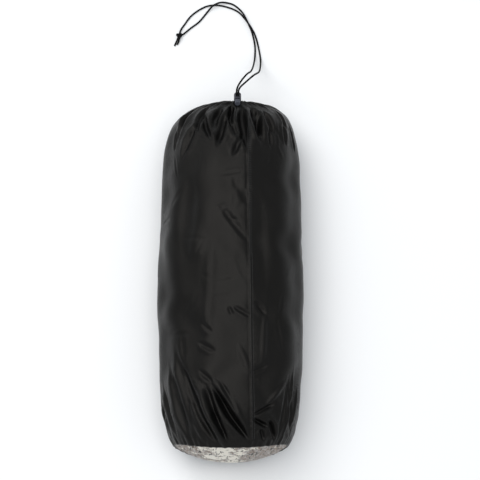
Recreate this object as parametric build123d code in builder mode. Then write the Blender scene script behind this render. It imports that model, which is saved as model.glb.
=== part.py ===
"""Bivy sack rolled up inside its stuff sack, lying on its side, drawcord laid out beyond the mouth.

Millimetres. +Z is up, +Y points from the round bottom of the sack towards its mouth.
"""
import math
import os

from build123d import *

os.makedirs("parts", exist_ok=True)

# ---------------------------------------------------------------- stuff sack
MOUTH_Y = 225.0             # flat face of the gathered end
BOTTOM_Y = -228.0           # middle of the stitched-in round bottom
BOTTOM_TILT = 5.0           # degrees the bottom leans, lower edge furthest out
BOTTOM_DOME = 7.0           # how far the round bottom bulges
HALF_WIDTH = 93.3           # widest half width of the stuffed sack
HALF_HEIGHT = 71.5          # tallest half height before the underside flattens
WALL = 1.0                  # sack fabric with its folds
FIT = 0.3                   # air between two soft pieces that touch
# Stations along the sack: (y, width share, height share, height of the middle)
STATIONS = (
    (-220.0, 0.850, 0.865, 65.0),
    (-206.0, 0.888, 0.915, 65.0),
    (-186.0, 0.925, 0.955, 65.0),
    (-150.0, 0.958, 0.985, 66.0),
    (-90.0, 0.990, 1.0, 66.5),
    (-20.0, 1.0, 1.0, 66.5),
    (50.0, 0.990, 0.995, 66.5),
    (105.0, 0.963, 0.975, 66.0),
    (150.0, 0.932, 0.937, 64.0),
    (182.0, 0.874, 0.867, 61.0),
    (202.0, 0.782, 0.762, 58.5),
    (214.0, 0.655, 0.657, 57.0),
    (221.0, 0.520, 0.517, 61.0),
)
BOTTOM_SHARE = 0.80         # size of the bottom rim against the widest section
MOUTH_SHARE = 0.364         # size of the flat gathered face against the widest section
BOTTOM_MIDDLE_Z = 65.0
MOUTH_MIDDLE_Z = 69.0
BOTTOM_LIP = 4.0            # how far the rim turns in around the bottom panel
PANEL_THICKNESS = 1.2
TAPE_THICKNESS = 0.8
SEAM_X = 23.0               # long seam of the tube, right of the top line
SEAM_TAPE_WIDTH = 9.0
SEAM_TAPE_LENGTH = 380.0
THROUGH = 6.0               # cuts reach this far both ways, right through a wall

# ---------------------------------------------------------------- drawn mouth
RING_X = 8.5
RING_Y = 224.5
RING_Z = 82.0
RING_RADIUS = 9.0           # middle of the hem channel
HEM_RADIUS = 3.5            # bunched hem around the cord
CORD_DIAMETER = 2.3
CORD_PITCH = 2.5            # between the two strands in the lock
EXIT_ANGLE = 35.0           # strands lean this far from vertical, towards +Y
STRAND_STRAIGHT = 17.0      # straight strand beyond the lock axis, where the lock can slide
STRAND_START = 1.6          # strands begin this far above the hem channel's middle
HEM_GATE = 6.2              # gap in the hem that both strands leave by
RING_GAP = 7.2              # missing arc of the cord ring, where it becomes the strands

# ---------------------------------------------------------------- cord lock
LOCK_REACH = 10.0           # hem channel middle to lock axis, along the strands
LOCK_RADIUS = 4.6
LOCK_BELOW, LOCK_ABOVE = 7.8, 3.3      # body ends, from the strands
BORE_RADIUS = 3.65
PLUNGER_RADIUS = 3.5
PLUNGER_FOOT, PLUNGER_TOP = 2.7, 10.6  # plunger ends, from the strands
PRESS_TRAVEL = 3.0
GRIP = 0.1                  # air around the strands where the lock pinches
SLOT_WIDTH = 5.2
SLOT_CORNER = 1.0
LOCK_EDGE = 0.6             # rounding of the moulded edges
FLOOR_THICKNESS = 1.2
SPRING_WIRE = 0.5
SPRING_RADIUS = 2.7
SPRING_TURNS = 4
SPRING_AIR = 0.05           # between the spring and the parts that it pushes

# ---------------------------------------------------------------- rolled bivy
ROLL_WIDTH, ROLL_HEIGHT = 79.0, 61.0   # reach of the first half turn: sideways, upwards
ROLL_START, ROLL_END = -204.0, 179.0
ROLL_TURNS = 3
LAYER = 6.4                 # one folded thickness of fabric
LAYER_GAP = 0.4
POLE_RADIUS = 3.95
POLE_WALL = 0.6
SECTION_LENGTH = 325.0      # one section of the folded pole
FERRULE_LENGTH = 50.0
FERRULE_OUT = 20.0          # ferrule showing beyond its section
FERRULE_WALL = 0.75
FERRULE_AIR = 0.05
STAKE_SIZE = 6.0
STAKE_LENGTH = 160.0
STAKE_CORNER = 1.0
BAG_WALL = 0.7
BAG_CORNER = 1.5
BAG_INSET = 20.0            # mouths of the small bags, in from the end of the roll
BAG_SPARE = 5.0             # empty length at each end of a small bag
SIDE_BY_SIDE = 0.2          # air between two poles, and a little more between two stakes
MESH_THICKNESS = 6.0
MESH_LENGTH = 210.0
MESH_MARGIN = 2.0           # folded mesh is this much narrower than the bags, each side
MESH_CORNER = 2.0
ZIP_START, ZIP_END = -60.0, 150.0
ZIP_ANGLE = 64.5            # where the zip lies round the roll, degrees from its right side
ZIP_TAPE_SHIFT = 5.6        # middle of each tape from the coil, degrees
ZIP_TAPE_SPAN, COIL_SPAN, SLIDER_SPAN, PULL_SPAN = 7.8, 2.8, 6.0, 2.4
ZIP_TAPE_THICKNESS, COIL_THICKNESS, SLIDER_THICKNESS, PULL_THICKNESS = 0.6, 1.6, 2.6, 1.0
SLIDER_LENGTH, PULL_LENGTH = 9.7, 30.0
LOOP_WIDTH, LOOP_LENGTH, LOOP_HEIGHT = 5.0, 9.0, 10.0
LOOP_STRAP = 0.8
LOOP_CORNER = 2.0
LOOP_INSET = 5.0            # stake loops, in from the widest part of the roll

CORD_RADIUS = CORD_DIAMETER / 2
HALF_PITCH = LAYER + LAYER_GAP          # how far the roll moves in each half turn
ROLL_X = -HALF_PITCH / 4                # the winding starts on the right, so the roll leans left
ROLL_MIDDLE_Z = WALL + FIT + ROLL_HEIGHT - HALF_PITCH
ACROSS = math.cos(math.radians(EXIT_ANGLE))
ALONG = math.sin(math.radians(EXIT_ANGLE))
STRAND_DIRECTION = Vector(0, ALONG, ACROSS)
LOCK_DIRECTION = Vector(0, -ACROSS, ALONG)
CHANNEL_TOP = Vector(RING_X, RING_Y, RING_Z + RING_RADIUS)
LOCK_CENTRE = CHANNEL_TOP + STRAND_DIRECTION * LOCK_REACH
BOTTOM_PLANE = Plane(
    origin=(0, BOTTOM_Y, BOTTOM_MIDDLE_Z),
    x_dir=(1, 0, 0),
    z_dir=(0, -math.cos(math.radians(BOTTOM_TILT)), math.sin(math.radians(BOTTOM_TILT))),
)


def station_plane(y, z):
    """Plane across the sack at y, its local Y pointing up."""
    return Plane(origin=(0, y, z), x_dir=(1, 0, 0), z_dir=(0, -1, 0))


def rim_ellipse(inset, mode=Mode.ADD):
    """Outline of the bottom rim moved in by inset."""
    return Ellipse(HALF_WIDTH * BOTTOM_SHARE - inset, HALF_HEIGHT * BOTTOM_SHARE - inset, mode=mode)


def sack_form(inset):
    """The stuffed sack as a smooth solid, every face moved in by inset."""
    with BuildPart() as form:
        with BuildSketch(BOTTOM_PLANE.offset(-inset)):
            rim_ellipse(inset)
        for y, width_share, height_share, middle in STATIONS:
            with BuildSketch(station_plane(y, middle)):
                Ellipse(HALF_WIDTH * width_share - inset, HALF_HEIGHT * height_share - inset)
        with BuildSketch(station_plane(MOUTH_Y - inset, MOUTH_MIDDLE_Z)):
            Ellipse(HALF_WIDTH * MOUTH_SHARE - inset, HALF_HEIGHT * MOUTH_SHARE - inset)
        loft(ruled=True)
        split(bisect_by=Plane.XY.offset(inset), keep=Keep.TOP)
    return form.part


# ---------------------------------------------------------------- sack pieces
outer_form = sack_form(0)
inner_form = sack_form(WALL)
lining_form = sack_form(WALL + FIT)
tape_form = sack_form(WALL + FIT + TAPE_THICKNESS)

with BuildPart() as sack_body:
    add(outer_form)
    add(inner_form, mode=Mode.SUBTRACT)
    with BuildSketch(BOTTOM_PLANE):
        rim_ellipse(BOTTOM_LIP)
    extrude(amount=THROUGH, both=True, mode=Mode.SUBTRACT)
    with BuildSketch(station_plane(MOUTH_Y, RING_Z)):
        with Locations((RING_X, 0)):
            Circle(RING_RADIUS + HEM_RADIUS + FIT)
    extrude(amount=THROUGH, both=True, mode=Mode.SUBTRACT)

DOME_WIDTH = HALF_WIDTH * BOTTOM_SHARE - BOTTOM_LIP - FIT
DOME_HEIGHT = HALF_HEIGHT * BOTTOM_SHARE - BOTTOM_LIP - FIT
DOME_RADIUS = (DOME_WIDTH**2 + BOTTOM_DOME**2) / (2 * BOTTOM_DOME)
DOME_SAG = DOME_RADIUS - math.sqrt(DOME_RADIUS**2 - DOME_WIDTH**2 / 4)


def dome_arc(lift):
    """Half of the panel's domed section, from its middle to its rim, moved out by lift."""
    top = BOTTOM_DOME + lift
    return ThreePointArc((0, top), (DOME_WIDTH / 2, top - DOME_SAG), (DOME_WIDTH, lift))


with BuildPart() as bottom_panel:
    with BuildSketch(Plane.XZ):
        with BuildLine():
            outside, inside = dome_arc(0), dome_arc(-PANEL_THICKNESS)
            Line(outside @ 0, inside @ 0)
            Line(outside @ 1, inside @ 1)
        make_face()
    revolve(axis=Axis.Z)
    scale(by=(1, DOME_HEIGHT / DOME_WIDTH, 1))
bottom_panel.part = BOTTOM_PLANE * bottom_panel.part

with BuildPart() as bottom_seam_tape:
    with BuildSketch(BOTTOM_PLANE.offset(-WALL - FIT)):
        rim_ellipse(WALL + FIT)
        rim_ellipse(BOTTOM_LIP, mode=Mode.SUBTRACT)
    extrude(amount=-TAPE_THICKNESS)

with BuildPart() as side_seam_tape:
    add(lining_form)
    add(tape_form, mode=Mode.SUBTRACT)
    with BuildSketch(Plane.XY.offset(ROLL_MIDDLE_Z)):
        with Locations((SEAM_X, 0)):
            Rectangle(SEAM_TAPE_WIDTH, SEAM_TAPE_LENGTH)
    extrude(amount=2 * HALF_HEIGHT, mode=Mode.INTERSECT)

# ---------------------------------------------------------------- drawn mouth
RING_PLANE = Plane(origin=(RING_X, RING_Y, RING_Z), x_dir=(0, 0, 1), z_dir=(0, 1, 0))
STRAND_PLANE = Plane(origin=CHANNEL_TOP, x_dir=(1, 0, 0), z_dir=STRAND_DIRECTION)

with BuildPart() as hem_channel:
    with Locations(RING_PLANE):
        Torus(RING_RADIUS, HEM_RADIUS)
        Torus(RING_RADIUS, CORD_RADIUS + FIT, mode=Mode.SUBTRACT)
    with BuildSketch(STRAND_PLANE):
        Rectangle(HEM_GATE, CORD_DIAMETER + 2 * FIT)
    extrude(amount=2 * HEM_RADIUS, mode=Mode.SUBTRACT)

with BuildPart() as drawcord_ring:
    with Locations(RING_PLANE):
        Torus(RING_RADIUS, CORD_RADIUS)
    with BuildSketch(STRAND_PLANE.offset(-2 * HEM_RADIUS)):
        Rectangle(RING_GAP, 4 * HEM_RADIUS)
    extrude(amount=6 * HEM_RADIUS, mode=Mode.SUBTRACT)


# ---------------------------------------------------------------- free cord
def cord_radii(points):
    """Bend radius at each inner point: 0.45 of the shorter run over tan(half the turn)."""
    radii = []
    for before, here, after in zip(points, points[1:], points[2:]):
        run_in, run_out = Vector(*here) - Vector(*before), Vector(*after) - Vector(*here)
        half_turn = math.radians(run_in.get_angle(run_out)) / 2
        radii.append(0.45 * min(run_in.length, run_out.length) / math.tan(half_turn))
    return radii


def cord_tube(name, points, radius=CORD_RADIUS):
    """Round cord along points, straight runs joined by tangent arcs."""
    radii = cord_radii(points)
    with BuildPart() as tube:
        with BuildLine() as path:
            FilletPolyline(*points, radius=radii)
        centre = path.wire()
        with BuildSketch(Plane(origin=centre @ 0, z_dir=centre % 0)):
            Circle(radius)
        sweep(path=centre)
    filled = tube.part.volume / (math.pi * radius**2 * centre.length)
    print(f"{name}: length {centre.length:.1f}, volume over section x length {filled:.4f},",
          "bend radii", [round(bend, 1) for bend in radii])
    return tube.part


def strand_start(side):
    """Inside the hem channel and clear of the lock, for the strand left (-1) or right (1)."""
    shift = Vector(side * CORD_PITCH / 2, 0, 0)
    first = CHANNEL_TOP + STRAND_DIRECTION * STRAND_START + shift
    last = LOCK_CENTRE + STRAND_DIRECTION * STRAND_STRAIGHT + shift
    return [tuple(first), tuple(last)]


TABLE = CORD_RADIUS + 0.1
OVER = TABLE + CORD_DIAMETER + 3        # one strand passing well over the other
LIFT = (TABLE + OVER) / 2               # halfway up to that
LEFT_POINTS = strand_start(-1) + [
    (12.6, 247.5, 121.0), (19.8, 257.0, 118.0), (22.9, 263.0, 103.5), (24.3, 269.5, 80.0),
    (26.4, 286.6, 38.0), (30.0, 303.5, 9.5), (32.0, 314.5, TABLE), (32.3, 328.0, TABLE),
    (28.8, 344.7, TABLE + 0.6), (25.4, 353.2, LIFT), (21.4, 361.2, OVER), (17.7, 369.0, OVER),
    (14.2, 375.2, LIFT), (9.4, 380.9, TABLE), (2.7, 386.1, TABLE), (-4.6, 388.3, TABLE),
    (-11.2, 388.5, LIFT), (-17.2, 387.1, OVER), (-23.8, 383.9, OVER), (-28.4, 380.3, LIFT),
    (-32.6, 375.6, TABLE), (-38.2, 368.2, TABLE),
    (-45.0, 360.1, TABLE), (-54.4, 353.6, TABLE), (-61.4, 347.4, TABLE + 0.4),
    (-65.8, 343.3, TABLE + 1.2),
]
RIGHT_POINTS = strand_start(1) + [
    (19.6, 247.0, 121.0), (28.8, 256.0, 117.5), (33.3, 262.0, 103.5), (35.0, 268.5, 80.0),
    (36.4, 284.0, 38.0), (39.3, 300.5, 9.5), (39.4, 311.0, TABLE), (37.5, 322.2, TABLE),
    (34.4, 336.5, TABLE), (30.0, 348.9, TABLE), (19.2, 365.1, TABLE), (11.2, 374.6, TABLE),
    (2.7, 379.6, TABLE), (-8.0, 383.2, TABLE), (-20.1, 385.5, TABLE), (-31.6, 384.5, TABLE),
    (-39.5, 381.0, TABLE), (-47.8, 376.0, TABLE), (-56.5, 368.6, TABLE), (-63.5, 358.0, TABLE),
    (-68.2, 351.4, TABLE + 0.5), (-69.8, 347.0, TABLE + 1.2),
]
KNOT_CENTRE = (-70.8, 341.4, 3.7)
KNOT_SIZE = (4.6, 5.2, 3.6)             # half sizes
LEFT_TAIL = [(-73.2, 336.6, TABLE + 1.2), (-75.0, 332.2, TABLE), (-76.3, 327.6, TABLE)]
RIGHT_TAIL = [(-70.3, 335.9, TABLE + 1.2), (-70.8, 332.6, TABLE), (-71.8, 329.6, TABLE)]

cord_strand_left = cord_tube("cord_strand_left", LEFT_POINTS)
cord_strand_right = cord_tube("cord_strand_right", RIGHT_POINTS)
cord_tail_left = cord_tube("cord_tail_left", LEFT_TAIL)
cord_tail_right = cord_tube("cord_tail_right", RIGHT_TAIL)

with BuildPart() as knot_form:
    Sphere(1)
    scale(by=KNOT_SIZE)

with BuildPart() as cord_knot:
    with Locations(KNOT_CENTRE):
        add(knot_form.part)

# ---------------------------------------------------------------- cord lock
LOCK_PLANE = Plane(origin=LOCK_CENTRE, x_dir=(1, 0, 0), z_dir=LOCK_DIRECTION)
SLOT_PLANE = Plane(origin=LOCK_CENTRE, x_dir=(1, 0, 0), z_dir=STRAND_DIRECTION)
# Local Y of the slot plane points against the barrel, so positions along the barrel are negated


def lock_slot(low, high):
    """Outline of the slot for both strands, between two heights along the barrel."""
    with BuildSketch(SLOT_PLANE) as slot:
        with Locations((0, -(low + high) / 2)):
            RectangleRounded(SLOT_WIDTH, high - low, SLOT_CORNER)
    return slot.sketch


with BuildPart() as lock_body:
    with BuildSketch(LOCK_PLANE.offset(-LOCK_BELOW)):
        Circle(LOCK_RADIUS)
    extrude(amount=LOCK_BELOW + LOCK_ABOVE)
    fillet(lock_body.edges().filter_by(GeomType.CIRCLE), radius=LOCK_EDGE)
    with BuildSketch(LOCK_PLANE.offset(-LOCK_BELOW + FLOOR_THICKNESS)):
        Circle(BORE_RADIUS)
    extrude(amount=LOCK_BELOW + LOCK_ABOVE, mode=Mode.SUBTRACT)
    extrude(lock_slot(-CORD_RADIUS - PRESS_TRAVEL - GRIP, CORD_RADIUS + GRIP),
            amount=2 * LOCK_RADIUS, both=True, mode=Mode.SUBTRACT)

with BuildPart() as lock_plunger:
    with BuildSketch(LOCK_PLANE.offset(-PLUNGER_FOOT)):
        Circle(PLUNGER_RADIUS)
    extrude(amount=PLUNGER_FOOT + PLUNGER_TOP)
    fillet(lock_plunger.edges().filter_by(GeomType.CIRCLE), radius=LOCK_EDGE)
    extrude(lock_slot(-CORD_RADIUS - GRIP, CORD_RADIUS + PRESS_TRAVEL + GRIP),
            amount=2 * LOCK_RADIUS, both=True, mode=Mode.SUBTRACT)

SPRING_FOOT = -LOCK_BELOW + FLOOR_THICKNESS + SPRING_WIRE / 2 + SPRING_AIR
SPRING_HEIGHT = -PLUNGER_FOOT - SPRING_WIRE / 2 - SPRING_AIR - SPRING_FOOT
with BuildPart() as lock_spring:
    with BuildLine():
        coil = Helix(pitch=SPRING_HEIGHT / SPRING_TURNS, height=SPRING_HEIGHT, radius=SPRING_RADIUS,
                     center=LOCK_CENTRE + LOCK_DIRECTION * SPRING_FOOT, direction=LOCK_DIRECTION)
    with BuildSketch(Plane(origin=coil @ 0, z_dir=coil % 0)):
        Circle(SPRING_WIRE / 2)
    sweep(is_frenet=True)


# ---------------------------------------------------------------- rolled bivy
def roll_sheet(start):
    """One folded sheet of the roll; start moves it in from the outermost surface."""
    with BuildPart() as sheet:
        with BuildSketch(station_plane(ROLL_END, ROLL_MIDDLE_Z)):
            with BuildLine():
                for depth in (start, start + LAYER):
                    for half in range(2 * ROLL_TURNS):
                        span = ROLL_WIDTH - depth - HALF_PITCH * (half + 0.5)
                        side = 1 if half % 2 == 0 else -1
                        rise = ROLL_HEIGHT - depth - HALF_PITCH * half
                        EllipticalCenterArc((ROLL_X + side * HALF_PITCH / 2, 0), span, rise,
                                            0 if side == 1 else 180, arc_size=180)
                for end in (ROLL_WIDTH - start, ROLL_WIDTH - start - 2 * HALF_PITCH * ROLL_TURNS):
                    Line((ROLL_X + end, 0), (ROLL_X + end - LAYER, 0))
            make_face()
        extrude(amount=ROLL_END - ROLL_START)
    return sheet.part


def roll_band(angle, span, lift, thickness, start, end):
    """Strip lying on the top of the roll, span degrees wide about angle, from start to end."""
    with BuildPart() as band:
        with BuildSketch(station_plane(end, ROLL_MIDDLE_Z)):
            with BuildLine():
                inner, outer = (
                    EllipticalCenterArc((ROLL_X + HALF_PITCH / 2, 0), ROLL_WIDTH - HALF_PITCH / 2 + rise,
                                        ROLL_HEIGHT + rise, angle - span / 2, arc_size=span)
                    for rise in (lift, lift + thickness))
                Line(inner @ 0, outer @ 0)
                Line(inner @ 1, outer @ 1)
            make_face()
        extrude(amount=end - start)
    return band.part


def bar(width, height, length, place, corner=0.0):
    """Straight bar along the sack, place giving the middle of its far end."""
    with BuildPart() as straight:
        with BuildSketch(station_plane(place[1], place[2])):
            with Locations((place[0], 0)):
                RectangleRounded(width, height, corner) if corner else Rectangle(width, height)
        extrude(amount=length)
    return straight.part


bivy_floor = roll_sheet(0)
bivy_top = roll_sheet(HALF_PITCH)

# Hollow left in the middle of the roll: its lower half is one half-ellipse
CORE_X = ROLL_X - HALF_PITCH / 2
CORE_HALF_WIDTH = ROLL_WIDTH - HALF_PITCH - LAYER - HALF_PITCH * (2 * ROLL_TURNS - 0.5)
CORE_DEPTH = ROLL_HEIGHT - HALF_PITCH - LAYER - HALF_PITCH * (2 * ROLL_TURNS - 1)
POLE_PITCH = 2 * POLE_RADIUS + SIDE_BY_SIDE
POLE_BAG_INSIDE = POLE_PITCH + 2 * POLE_RADIUS + 2 * FIT
POLE_BAG_OUTSIDE = POLE_BAG_INSIDE + 2 * BAG_WALL
STAKE_PITCH = STAKE_SIZE + SIDE_BY_SIDE
STAKE_BAG_INSIDE = STAKE_PITCH + STAKE_SIZE + 2 * FIT
STAKE_BAG_OUTSIDE = STAKE_BAG_INSIDE + 2 * BAG_WALL
BAGS_HALF = (POLE_BAG_OUTSIDE + FIT + STAKE_BAG_OUTSIDE) / 2
FLOOR_HALF = BAGS_HALF - FIT            # half width of the flat floor under both bags
BAGS_FLOOR_Z = ROLL_MIDDLE_Z + FIT - CORE_DEPTH * math.sqrt(1 - (FLOOR_HALF / CORE_HALF_WIDTH) ** 2)
POLE_X = CORE_X - BAGS_HALF + POLE_BAG_OUTSIDE / 2
STAKE_X = CORE_X + BAGS_HALF - STAKE_BAG_OUTSIDE / 2
POLE_Z = BAGS_FLOOR_Z + POLE_BAG_OUTSIDE / 2
STAKE_Z = BAGS_FLOOR_Z + STAKE_BAG_OUTSIDE / 2
BAGS_MOUTH = ROLL_END - BAG_INSET


def small_bag(outside, inside, length, place):
    """Square-section sleeve closed at its near end and open at the far end."""
    with BuildPart() as sleeve:
        add(bar(outside, outside, length, place, BAG_CORNER))
        add(bar(inside, inside, length - BAG_WALL, place), mode=Mode.SUBTRACT)
    return sleeve.part


pole_bag = small_bag(POLE_BAG_OUTSIDE, POLE_BAG_INSIDE, SECTION_LENGTH + FERRULE_OUT + 2 * BAG_SPARE,
                     (POLE_X, BAGS_MOUTH, POLE_Z))
stake_bag = small_bag(STAKE_BAG_OUTSIDE, STAKE_BAG_INSIDE, STAKE_LENGTH + 2 * BAG_SPARE,
                      (STAKE_X, BAGS_MOUTH, STAKE_Z))
MESH_Z = BAGS_FLOOR_Z + POLE_BAG_OUTSIDE + FIT + MESH_THICKNESS / 2
mesh_panel = bar(2 * (BAGS_HALF - MESH_MARGIN), MESH_THICKNESS, MESH_LENGTH,
                 (CORE_X, BAGS_MOUTH, MESH_Z), MESH_CORNER)

# Four pole sections side by side, each a tube; three carry the ferrule that joins them to the next
POLE_PLACES = [(POLE_X + dx * POLE_PITCH / 2, POLE_Z + dz * POLE_PITCH / 2)
               for dx, dz in ((-1, -1), (1, -1), (1, 1), (-1, 1))]
POLE_BORE = POLE_RADIUS - POLE_WALL
FERRULE_RADIUS = POLE_BORE - FERRULE_AIR
FERRULE_Y = BAGS_MOUTH - BAG_SPARE
pole_sections, pole_ferrules = [], []
for x, z in POLE_PLACES:
    with BuildPart() as section:
        with BuildSketch(station_plane(FERRULE_Y - FERRULE_OUT, z)):
            with Locations((x, 0)):
                Circle(POLE_RADIUS)
                Circle(POLE_BORE, mode=Mode.SUBTRACT)
        extrude(amount=SECTION_LENGTH)
    pole_sections.append(section.part)
for x, z in POLE_PLACES[:3]:
    with BuildPart() as ferrule:
        with BuildSketch(station_plane(FERRULE_Y, z)):
            with Locations((x, 0)):
                Circle(FERRULE_RADIUS)
                Circle(FERRULE_RADIUS - FERRULE_WALL, mode=Mode.SUBTRACT)
        extrude(amount=FERRULE_LENGTH)
    pole_ferrules.append(ferrule.part)

with BuildPart() as tent_stakes:
    for dx in (-1, 1):
        for dz in (-1, 1):
            head = (STAKE_X + dx * STAKE_PITCH / 2, BAGS_MOUTH - BAG_SPARE,
                    STAKE_Z + dz * STAKE_PITCH / 2)
            add(bar(STAKE_SIZE, STAKE_SIZE, STAKE_LENGTH, head, STAKE_CORNER))

zip_tape_left = roll_band(ZIP_ANGLE + ZIP_TAPE_SHIFT, ZIP_TAPE_SPAN, FIT, ZIP_TAPE_THICKNESS,
                          ZIP_START, ZIP_END)
zip_tape_right = roll_band(ZIP_ANGLE - ZIP_TAPE_SHIFT, ZIP_TAPE_SPAN, FIT, ZIP_TAPE_THICKNESS,
                           ZIP_START, ZIP_END)
zip_coil = roll_band(ZIP_ANGLE, COIL_SPAN, FIT, COIL_THICKNESS, ZIP_START, ZIP_END)
zip_slider = roll_band(ZIP_ANGLE, SLIDER_SPAN, FIT, SLIDER_THICKNESS,
                       ZIP_END + FIT, ZIP_END + FIT + SLIDER_LENGTH)
zip_pull = roll_band(ZIP_ANGLE, PULL_SPAN, 2 * FIT + SLIDER_THICKNESS, PULL_THICKNESS,
                     ZIP_END + SLIDER_LENGTH - PULL_LENGTH, ZIP_END + SLIDER_LENGTH)

LOOP_X = ROLL_WIDTH - HALF_PITCH / 2 - LOOP_INSET
with BuildPart() as stake_loops:
    for side in (-1, 1):
        for middle_y in (ROLL_END + FIT + LOOP_LENGTH / 2, ROLL_START - FIT - LOOP_LENGTH / 2):
            with BuildSketch(Plane.XY.offset(ROLL_MIDDLE_Z - LOOP_HEIGHT / 2)):
                with Locations((side * LOOP_X, middle_y)):
                    RectangleRounded(LOOP_WIDTH, LOOP_LENGTH, LOOP_CORNER)
                    RectangleRounded(LOOP_WIDTH - 2 * LOOP_STRAP, LOOP_LENGTH - 2 * LOOP_STRAP,
                                     LOOP_CORNER - LOOP_STRAP, mode=Mode.SUBTRACT)
            extrude(amount=LOOP_HEIGHT)

# ---------------------------------------------------------------- export
PIECES = {
    "sack_body": sack_body.part,
    "bottom_panel": bottom_panel.part,
    "bottom_seam_tape": bottom_seam_tape.part,
    "side_seam_tape": side_seam_tape.part,
    "hem_channel": hem_channel.part,
    "drawcord_ring": drawcord_ring.part,
    "cord_strand_left": cord_strand_left,
    "cord_strand_right": cord_strand_right,
    "cord_tail_left": cord_tail_left,
    "cord_tail_right": cord_tail_right,
    "cord_knot": cord_knot.part,
    "lock_body": lock_body.part,
    "lock_plunger": lock_plunger.part,
    "lock_spring": lock_spring.part,
    "bivy_floor": bivy_floor,
    "bivy_top": bivy_top,
    "mesh_panel": mesh_panel,
    "zip_tape_left": zip_tape_left,
    "zip_tape_right": zip_tape_right,
    "zip_coil": zip_coil,
    "zip_slider": zip_slider,
    "zip_pull": zip_pull,
    "pole_bag": pole_bag,
    "stake_bag": stake_bag,
    "tent_stakes": tent_stakes.part,
    "stake_loops": stake_loops.part,
}
PIECES |= {f"pole_section_{count}": part for count, part in enumerate(pole_sections, 1)}
PIECES |= {f"pole_ferrule_{count}": part for count, part in enumerate(pole_ferrules, 1)}
for label, part in PIECES.items():
    part.label = label
    export_step(part, f"parts/{label}.step")

body_box = Compound(children=[part for label, part in PIECES.items()
                              if not label.startswith("cord_")]).bounding_box()
print("without the free cord:", body_box.min, body_box.max)
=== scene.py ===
"""Bivy sack packed in its stuff sack, with the drawcord laid out beyond the drawn mouth.

Metres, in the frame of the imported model: +Z is up, +Y points from the round bottom of the sack
towards its mouth.
"""
from __future__ import annotations

import logging
import math
from collections.abc import Sequence
from dataclasses import dataclass
from enum import Enum

import bpy
import numpy as np
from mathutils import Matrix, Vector

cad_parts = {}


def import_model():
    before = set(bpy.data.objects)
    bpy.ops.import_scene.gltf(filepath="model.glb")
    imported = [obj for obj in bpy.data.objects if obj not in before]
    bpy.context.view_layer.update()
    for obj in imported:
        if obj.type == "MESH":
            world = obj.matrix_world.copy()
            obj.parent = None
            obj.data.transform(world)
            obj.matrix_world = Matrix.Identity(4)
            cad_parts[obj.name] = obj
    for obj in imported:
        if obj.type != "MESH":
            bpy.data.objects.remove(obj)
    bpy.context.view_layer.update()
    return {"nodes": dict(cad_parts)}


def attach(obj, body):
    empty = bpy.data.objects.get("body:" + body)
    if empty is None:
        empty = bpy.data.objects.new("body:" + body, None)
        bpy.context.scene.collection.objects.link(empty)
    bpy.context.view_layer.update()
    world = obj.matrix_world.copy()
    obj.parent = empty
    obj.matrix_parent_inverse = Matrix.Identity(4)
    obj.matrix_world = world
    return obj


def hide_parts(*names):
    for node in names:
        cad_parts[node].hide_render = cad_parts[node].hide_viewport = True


LOG = logging.getLogger("bivy_sack")
MM = 0.001
TURN = 2 * math.pi

Point = tuple[float, float, float]
Colour = tuple[float, float, float, float]


# ---------------------------------------------------------------- shader graph
class Signal:
    """An output socket that takes part in shader maths written as Python expressions."""

    def __init__(self, graph: ShaderGraph, socket: bpy.types.NodeSocket) -> None:
        """Keep the socket and the graph that new Math nodes go to."""
        self.graph = graph
        self.socket = socket

    def math(self, operation: str, *values: Signal | float, clamp: bool = False) -> Signal:
        """Add a Math node.

        Args:
            operation: name of the Math node's operation.
            values: its inputs in order, signals or plain numbers.
            clamp: keep the result between 0 and 1.

        Returns:
            The node's result.
        """
        node = self.graph.node("ShaderNodeMath", dict(enumerate(values)), operation=operation,
                               use_clamp=clamp)
        return Signal(self.graph, node.outputs[0])

    def __add__(self, other: Signal | float) -> Signal:
        """Sum."""
        return self.math("ADD", self, other)

    def __radd__(self, other: float) -> Signal:
        """Sum with a number in front."""
        return self.math("ADD", other, self)

    def __sub__(self, other: Signal | float) -> Signal:
        """Difference."""
        return self.math("SUBTRACT", self, other)

    def __rsub__(self, other: float) -> Signal:
        """Difference from a number in front."""
        return self.math("SUBTRACT", other, self)

    def __mul__(self, other: Signal | float) -> Signal:
        """Product."""
        return self.math("MULTIPLY", self, other)

    def __rmul__(self, other: float) -> Signal:
        """Product with a number in front."""
        return self.math("MULTIPLY", other, self)

    def above(self, low: float, high: float) -> Signal:
        """Ramp from 0 at low to 1 at high, clamped."""
        return self.math("MULTIPLY", self - low, 1 / (high - low), clamp=True)

    def sine(self) -> Signal:
        """Sine of the value."""
        return self.math("SINE", self)

    def absolute(self) -> Signal:
        """The value without its sign."""
        return self.math("ABSOLUTE", self)


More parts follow.
